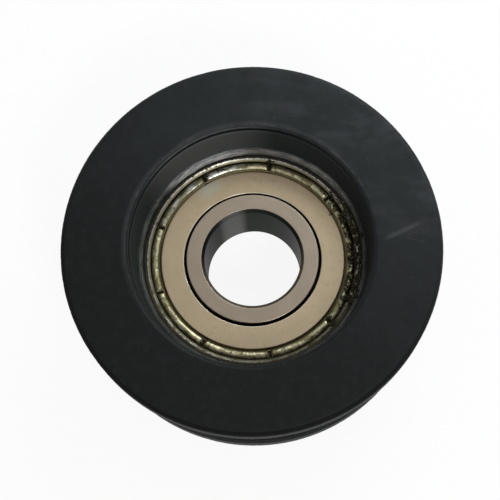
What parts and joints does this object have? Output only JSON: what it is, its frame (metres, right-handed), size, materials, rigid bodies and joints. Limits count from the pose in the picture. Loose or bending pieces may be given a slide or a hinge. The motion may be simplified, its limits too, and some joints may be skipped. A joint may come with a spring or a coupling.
{
  "type": "v groove wheel",
  "caption": "Moulded black wheel with a V groove between two flanges, turning on a shielded ball bearing set deep in its recessed hub.",
  "frame": {"origin": "middle of the wheel, on the axis of the bore, halfway between the two flat faces", "axes": "+Z along the axis of the bore, out of the front face; the part is a body of revolution, so +X and +Y are any two directions across it"},
  "size_m": [0.038, 0.038, 0.015],
  "materials": {
    "black_plastic": "moulded, worn satin black",
    "ring_steel": "ground bearing steel",
    "inner_ring_steel": "ground bearing steel with a warm cast",
    "shield_steel": "pressed sheet with a warm, satin face",
    "cage_steel": "pressed sheet",
    "ball_steel": "polished"
  },
  "bodies": {
    "inner_ring": {"inner_ring": "inner_ring_steel"},
    "wheel": {"wheel_body": "black_plastic", "outer_ring": "ring_steel", "shield_front": "shield_steel", "shield_back": "shield_steel"},
    "cage": {"cage_front": "cage_steel", "cage_back": "cage_steel", "cage_rivets": "cage_steel"},
    "ball_1": {"ball_1": "ball_steel"},
    "ball_2": {"ball_2": "ball_steel"},
    "ball_3": {"ball_3": "ball_steel"},
    "ball_4": {"ball_4": "ball_steel"},
    "ball_5": {"ball_5": "ball_steel"},
    "ball_6": {"ball_6": "ball_steel"},
    "ball_7": {"ball_7": "ball_steel"}
  },
  "joints": [
    {"name": "wheel_spin", "type": "hinge", "parent": "inner_ring", "child": "wheel", "pos_m": [0, 0, -0.0023], "axis": [0, 0, 1], "continuous": true},
    {"name": "cage_spin", "type": "hinge", "parent": "inner_ring", "child": "cage", "pos_m": [0, 0, -0.0023], "axis": [0, 0, 1], "continuous": true},
    {"name": "ball_1_roll", "type": "hinge", "parent": "cage", "child": "ball_1", "pos_m": [0.00877, 0.002, -0.0023], "axis": [0, 0, 1], "continuous": true},
    {"name": "ball_2_roll", "type": "hinge", "parent": "cage", "child": "ball_2", "pos_m": [0.00391, 0.00811, -0.0023], "axis": [0, 0, 1], "continuous": true},
    {"name": "ball_3_roll", "type": "hinge", "parent": "cage", "child": "ball_3", "pos_m": [-0.00391, 0.00811, -0.0023], "axis": [0, 0, 1], "continuous": true},
    {"name": "ball_4_roll", "type": "hinge", "parent": "cage", "child": "ball_4", "pos_m": [-0.00877, 0.002, -0.0023], "axis": [0, 0, 1], "continuous": true},
    {"name": "ball_5_roll", "type": "hinge", "parent": "cage", "child": "ball_5", "pos_m": [-0.00704, -0.00561, -0.0023], "axis": [0, 0, 1], "continuous": true},
    {"name": "ball_6_roll", "type": "hinge", "parent": "cage", "child": "ball_6", "pos_m": [0, -0.009, -0.0023], "axis": [0, 0, 1], "continuous": true},
    {"name": "ball_7_roll", "type": "hinge", "parent": "cage", "child": "ball_7", "pos_m": [0.00704, -0.00561, -0.0023], "axis": [0, 0, 1], "continuous": true}
  ],
  "couplings": [
    {"joint": "cage_spin", "follows": "wheel_spin", "ratio": 0.63222},
    {"joint": "ball_1_roll", "follows": "wheel_spin", "ratio": 1.7585},
    {"joint": "ball_2_roll", "follows": "wheel_spin", "ratio": 1.7585},
    {"joint": "ball_3_roll", "follows": "wheel_spin", "ratio": 1.7585},
    {"joint": "ball_4_roll", "follows": "wheel_spin", "ratio": 1.7585},
    {"joint": "ball_5_roll", "follows": "wheel_spin", "ratio": 1.7585},
    {"joint": "ball_6_roll", "follows": "wheel_spin", "ratio": 1.7585},
    {"joint": "ball_7_roll", "follows": "wheel_spin", "ratio": 1.7585}
  ]
}
